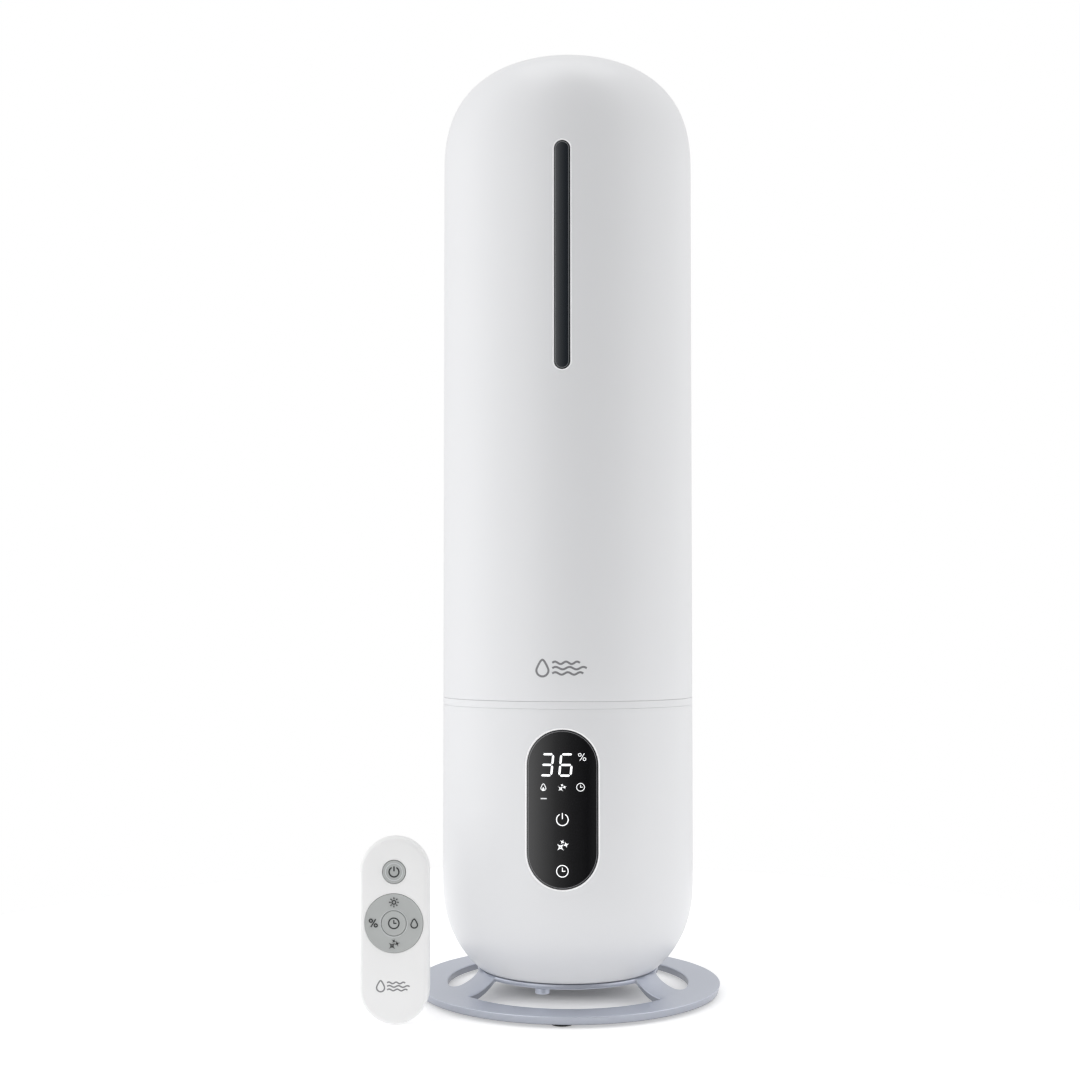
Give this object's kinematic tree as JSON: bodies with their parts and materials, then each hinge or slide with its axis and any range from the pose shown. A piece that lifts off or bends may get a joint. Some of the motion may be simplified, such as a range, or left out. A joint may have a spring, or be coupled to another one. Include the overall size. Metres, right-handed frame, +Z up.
{
  "type": "cool mist humidifier",
  "caption": "Tall round-topped tower ultrasonic humidifier with lift-off water tank, touch display, ring stand and pill-shaped hand remote.",
  "frame": {"origin": "on the floor, at the middle of the footprint of tower and remote together; the tower's axis is at x = 9.75 mm", "axes": "+Z up along the tower, -Y towards the front (panel side), +X to the right seen from the front"},
  "size_m": [0.2014, 0.182, 0.5577],
  "materials": {
    "white_shell": "fine satin white ABS",
    "basin_white": "satin off-white ABS",
    "stand_silver": "satin silver lacquer",
    "foot_rubber": "matt",
    "panel_black": "gloss black with white legends",
    "smoke_window": "smoke tinted, gloss",
    "silicone": "translucent white",
    "steel": "zinc plated",
    "aluminium": "extruded",
    "ceramic": "glazed",
    "circuit": "solder resist",
    "black_plastic": "fine",
    "float_blue": "foamed",
    "lead_black": "soft PVC",
    "remote_white": "fine satin",
    "key_grey": "soft matt with dark legends",
    "key_rubber": "matt",
    "led_smoke": "smoke tinted lens"
  },
  "bodies": {
    "base": {"stand_ring": "stand_silver", "stand_foot_1": "foot_rubber", "stand_foot_2": "foot_rubber", "stand_foot_3": "foot_rubber", "stand_foot_4": "foot_rubber", "stand_foot_5": "foot_rubber", "stand_screw_1": "stand_silver", "stand_screw_2": "stand_silver", "stand_screw_3": "stand_silver", "base_shell": "white_shell", "bottom_plate": "white_shell", "plate_screw_1": "steel", "plate_screw_2": "steel", "plate_screw_3": "steel", "basin_screw_1": "steel", "basin_screw_2": "steel", "basin_screw_3": "steel", "water_basin": "basin_white", "transducer_disc": "ceramic", "transducer_seal": "silicone", "transducer_clamp": "black_plastic", "float_keeper": "black_plastic", "reed_switch": "black_plastic", "fan_frame": "black_plastic", "air_duct": "black_plastic", "driver_board": "circuit", "heat_sink": "aluminium", "control_board": "circuit", "display_module": "black_plastic", "display_panel": "panel_black", "touch_sensor": "circuit", "ir_receiver": "black_plastic", "dc_jack": "black_plastic", "power_lead": "lead_black"},
    "tank": {"tank_shell": "white_shell", "level_window": "smoke_window", "tank_floor": "white_shell", "mist_tube": "basin_white", "tube_gasket": "silicone"},
    "cap": {"tank_cap": "white_shell", "cap_seal": "silicone", "valve_spring": "steel"},
    "valve": {"valve_plunger": "black_plastic", "valve_seal": "silicone"},
    "nozzle": {"mist_nozzle": "white_shell"},
    "fan": {"fan_rotor": "black_plastic"},
    "float": {"float": "float_blue", "float_magnet": "steel"},
    "remote": {"remote_front_shell": "remote_white", "remote_back_shell": "remote_white", "remote_board": "circuit", "remote_keypad": "key_rubber", "remote_battery": "steel", "remote_ir_led": "led_smoke"},
    "power_button": {"remote_power_button": "key_grey"},
    "timer_button": {"remote_timer_button": "key_grey"},
    "pad_cushion": {"remote_dpad_rubber": "key_rubber"},
    "pad": {"remote_dpad": "key_grey"},
    "battery_cover": {"remote_battery_cover": "remote_white"}
  },
  "joints": [
    {"name": "tank_lift", "type": "slide", "parent": "base", "child": "tank", "axis": [0, 0, 1], "range_m": [0, 0.1]},
    {"name": "nozzle_turn", "type": "hinge", "parent": "tank", "child": "nozzle", "pos_m": [0.00975, 0, 0.55], "axis": [0, 0, 1], "continuous": true},
    {"name": "cap_turn", "type": "hinge", "parent": "tank", "child": "cap", "pos_m": [-0.03375, 0, 0.19], "axis": [0, 0, 1], "range_deg": [0, 60]},
    {"name": "valve_slide", "type": "slide", "parent": "cap", "child": "valve", "axis": [0, 0, 1], "range_m": [-0.004, 0], "deforming": ["valve_spring"]},
    {"name": "fan_spin", "type": "hinge", "parent": "base", "child": "fan", "pos_m": [0.00975, 0, 0.034], "axis": [0, 0, 1], "continuous": true},
    {"name": "float_rise", "type": "slide", "parent": "base", "child": "float", "axis": [0, 0, 1], "range_m": [0, 0.008]},
    {"name": "remote_lift", "type": "slide", "parent": "base", "child": "remote", "axis": [0, 0, 1], "range_m": [0, 0.1]},
    {"name": "power_button_press", "type": "slide", "parent": "remote", "child": "power_button", "axis": [0, 1, 0], "range_m": [0, 0.0006], "stiffness_N_per_m": 1500},
    {"name": "timer_button_press", "type": "slide", "parent": "remote", "child": "timer_button", "axis": [0, 1, 0], "range_m": [0, 0.0006], "stiffness_N_per_m": 1500},
    {"name": "pad_tilt_up_down", "type": "hinge", "parent": "remote", "child": "pad_cushion", "pos_m": [-0.08175, -0.0867, 0.0552], "axis": [1, 0, 0], "range_deg": [-2, 2], "stiffness_Nm_per_rad": 0.4},
    {"name": "pad_tilt_left_right", "type": "hinge", "parent": "pad_cushion", "child": "pad", "pos_m": [-0.08175, -0.0873, 0.0552], "axis": [0, 0, 1], "range_deg": [-2, 2], "stiffness_Nm_per_rad": 0.4},
    {"name": "battery_cover_turn", "type": "hinge", "parent": "remote", "child": "battery_cover", "pos_m": [-0.08175, -0.0793, 0.027], "axis": [0, 1, 0], "range_deg": [0, 40]}
  ],
  "couplings": [
    {"joint": "valve_slide", "follows": "tank_lift", "ratio": -0.04}
  ]
}
